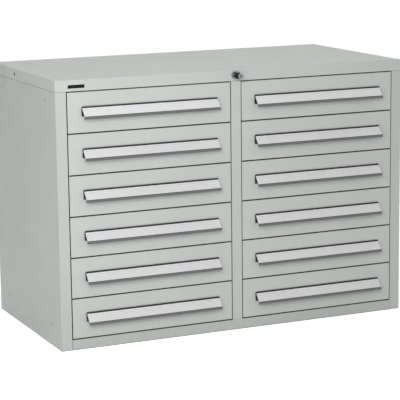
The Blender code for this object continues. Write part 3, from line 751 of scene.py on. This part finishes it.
# Label carriers
# A white plastic channel slid into the recess of each pull from the end. Its upper rim laps over
# the pull's top edge, its lower rim stops short of the recess's end, and the card lies between.
CARRIER_EDGE = 0.0003
CARRIER_RISE = 0.0006
CARRIER_LIP = 0.0007
CARRIER_BED = 0.0004
CARRIER_FREE = 0.00005
CARRIER_FOOT = 0.0016
CARRIER_SHORT = 0.0012
CARRIER_ROUNDING = 0.0002
carrier_end = face_length - RIM - CARRIER_SHORT
foot_start = carrier_end - CARRIER_FOOT
carrier_section = [
    on_face(CARRIER_EDGE, -CARRIER_FREE), on_face(CARRIER_EDGE, -CARRIER_RISE),
    on_face(RIM + CARRIER_LIP, -CARRIER_RISE), on_face(RIM + CARRIER_LIP, CARRIER_BED),
    on_face(foot_start, CARRIER_BED), on_face(foot_start, -CARRIER_RISE),
    on_face(carrier_end, -CARRIER_RISE), on_face(carrier_end, RECESS - CARRIER_FREE),
    on_face(RIM + CARRIER_FREE, RECESS - CARRIER_FREE), on_face(RIM + CARRIER_FREE, -CARRIER_FREE)]
carrier_model = extrusion("carrier_model", carrier_section,
                          pull_low.x + CARRIER_RISE, pull_high.x - CARRIER_RISE)
break_edges(carrier_model, CARRIER_ROUNDING, 2)
carrier_white = lacquer("carrier_white", (0.90, 0.90, 0.90), 0.28)
to_all_drawers(carrier_model, "label_carrier", carrier_white, "label_strip")


# Label cards
# A blank pale card lies in each carrier, held under its two rims. It is faced with a glossy clear
# film.
CARD_THICKNESS = 0.0003
CARD_MARGIN = 0.0001
CARD_SHORT = 0.0025
CARD_ROUNDING = 0.0001
card_start = RIM + CARRIER_LIP + CARD_MARGIN
card_end = foot_start - CARD_MARGIN
card_low = CARRIER_BED - CARRIER_FREE
card_section = [on_face(card_start, card_low), on_face(card_start, card_low - CARD_THICKNESS),
                on_face(card_end, card_low - CARD_THICKNESS), on_face(card_end, card_low)]
card_model = extrusion("card_model", card_section,
                       pull_low.x + CARD_SHORT, pull_high.x - CARD_SHORT)
break_edges(card_model, CARD_ROUNDING, 2)
label_card = lacquer("label_card", (0.71, 0.715, 0.73), 0.35)
label_card.shader.inputs["Coat Weight"].default_value = 0.5
label_card.shader.inputs["Coat Roughness"].default_value = 0.15
to_all_drawers(card_model, "label_card", label_card, "label_strip")


# Name plate
# A small bare black plate glued to the cover's front. Its corners are rounded, and a fine border
# stands round its sunk face.
PLATE_LEFT = 0.049
PLATE_LENGTH = 0.063
PLATE_TOP = 0.019
PLATE_HEIGHT = 0.012
PLATE_THICKNESS = 0.0012
PLATE_CORNER = 0.0014
PLATE_ROUNDING = 0.0003
PLATE_BORDER = 0.0007
PLATE_SUNK = 0.0002
plate_left = cover_low.x + PLATE_LEFT
plate_top = cover_high.z - PLATE_TOP
plate = start_box("name_plate",
                  (plate_left, cover_low.y - PLATE_THICKNESS, plate_top - PLATE_HEIGHT),
                  (plate_left + PLATE_LENGTH, cover_low.y, plate_top))
pick_edges(plate, lambda a, b: abs(a.y - b.y) > PLATE_THICKNESS / 2)
bpy.ops.mesh.bevel(offset=PLATE_CORNER, segments=4, affect="EDGES")
pick_faces(plate, lambda middle, normal: normal.y < -FACING)
bpy.ops.mesh.bevel(offset=PLATE_ROUNDING, segments=2, affect="EDGES")
pick_faces(plate, lambda middle, normal: normal.y < -SQUARE_ON)
bpy.ops.mesh.inset(thickness=PLATE_BORDER)
bpy.ops.mesh.inset(thickness=PLATE_SUNK, depth=-PLATE_SUNK)
bpy.ops.object.mode_set(mode="OBJECT")
smooth(plate)
plate_black = lacquer("plate_black", (0.004, 0.004, 0.0045), 0.5)
plate_black.shader.inputs["Specular IOR Level"].default_value = 0.15
outfit(plate, plate_black, "cabinet", "name_plate")


# Push lock
# A satin rosette with a dark polished sleeve, the dark push cylinder that slides in it, and the
# satin key core in the cylinder's bright face. All are turned parts with broken edges.
SMUDGE_SCALE = 160
SMUDGE_TONE = 0.85
TONE_BLUR = 0.0003
SOLID_MERGE = 0.00001


def metal(name, colour, low_rough, high_rough):
    steel = Finish(name)
    steel.shader.inputs["Metallic"].default_value = 1
    smudge = steel.noise(SMUDGE_SCALE, 4)
    steel.feed("Base Color", steel.ramp(smudge, shaded(colour, SMUDGE_TONE), colour))
    steel.feed("Roughness", steel.ranged(smudge, low_rough, high_rough))
    return steel


def two_tone(name, behind, before, border, low_rough, high_rough):
    """Metal of one colour behind a plane across the lock's axis and of another before it."""
    steel = metal(name, behind, low_rough, high_rough)
    place = steel.nodes.new("ShaderNodeSeparateXYZ")
    steel.links.new(steel.where, place.inputs[0])
    across = steel.ranged(place.outputs["Y"], 0, 1, border, border - TONE_BLUR)
    mottled = steel.nodes["Color Ramp"].outputs["Color"]
    steel.feed("Base Color", steel.mixed(across, mottled, before))
    return steel


def turned_part(node, name, finish, slot):
    """A softly shaded copy of a solid whose shape is right, in its place and on its body."""
    solid = frame["nodes"][node]
    piece = bpy.data.objects.new(name, solid.data.copy())
    bpy.context.scene.collection.objects.link(piece)
    select_only(piece)
    bpy.ops.mesh.customdata_custom_splitnormals_clear()
    bpy.ops.object.mode_set(mode="EDIT")
    bpy.ops.mesh.select_all(action="SELECT")
    bpy.ops.mesh.remove_doubles(threshold=SOLID_MERGE)
    bpy.ops.mesh.mark_sharp(clear=True)
    bpy.ops.object.mode_set(mode="OBJECT")
    smooth(piece)
    outfit(piece, finish, solid["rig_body"], slot, node)


ROSETTE_STANDS = 0.0043
FACE_EDGE = 0.0009
rosette_face = cover_low.y - ROSETTE_STANDS
plunger_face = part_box("lock_plunger")[0].y
satin_and_dark = two_tone("rosette_and_sleeve", (0.40, 0.40, 0.40), (0.022, 0.022, 0.023),
                          rosette_face, 0.16, 0.3)
dark_and_bright = two_tone("plunger_side_and_face", (0.018, 0.018, 0.019), (0.34, 0.34, 0.345),
                           plunger_face + FACE_EDGE, 0.2, 0.34)
satin_core = metal("satin_core", (0.22, 0.22, 0.225), 0.3, 0.42)
turned_part("lock_housing", "lock_rosette_and_sleeve", satin_and_dark, "lock_chrome")
turned_part("lock_plunger", "lock_push_cylinder", dark_and_bright, "lock_chrome")
turned_part("lock_core", "lock_key_core", satin_core, "lock_core_steel")


# Back screws
# Flat-head steel screws hold the back sheet to the rear flange of each side, evenly spaced. Their
# heads lie a hair below the flange's face, with a broken edge and a round drive socket.
SCREW_RADIUS = 0.0045
SCREW_HEAD = 0.0013
SCREW_SUNK = 0.0001
SCREW_ROUNDING = 0.0004
SCREW_RIM = 0.0018
SOCKET_WALL = 0.0002
SOCKET_DEPTH = 0.0009
bpy.ops.object.select_all(action="DESELECT")
bpy.ops.mesh.primitive_cylinder_add(vertices=SCREW_SIDES, radius=SCREW_RADIUS, depth=SCREW_HEAD,
                                    rotation=(math.pi / 2, 0, 0), location=(0, 0, 0))
screw_model = bpy.context.object
screw_model.name = "screw_model"
bpy.ops.object.transform_apply(location=True, rotation=True, scale=True)
bpy.ops.object.mode_set(mode="EDIT")
pick_faces(screw_model, lambda middle, normal: normal.y > FACING)
bpy.ops.mesh.bevel(offset=SCREW_ROUNDING, segments=4, affect="EDGES")
pick_faces(screw_model, lambda middle, normal: normal.y > SQUARE_ON)
bpy.ops.mesh.inset(thickness=SCREW_RIM)
bpy.ops.mesh.inset(thickness=SOCKET_WALL, depth=-SOCKET_DEPTH)
bpy.ops.object.mode_set(mode="OBJECT")
smooth(screw_model)
screw_steel = metal("screw_steel", (0.15, 0.155, 0.16), 0.45, 0.6)
flange_middle = abs(side_low.x + side_high.x) / 2
head_middle = side_high.y - SCREW_SUNK - SCREW_HEAD / 2
for side, hand in SIDES:
    for number, height in enumerate(SCREW_HEIGHTS, 1):
        screw = copy_to(screw_model, f"{hand}_back_screw_{number}",
                        (side * flange_middle, head_middle, height))
        outfit(screw, screw_steel, "cabinet", "fastener_steel")
bpy.data.objects.remove(screw_model)


# Sizes
# The boxes of the solids and of all that shows, in metres.
low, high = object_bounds()
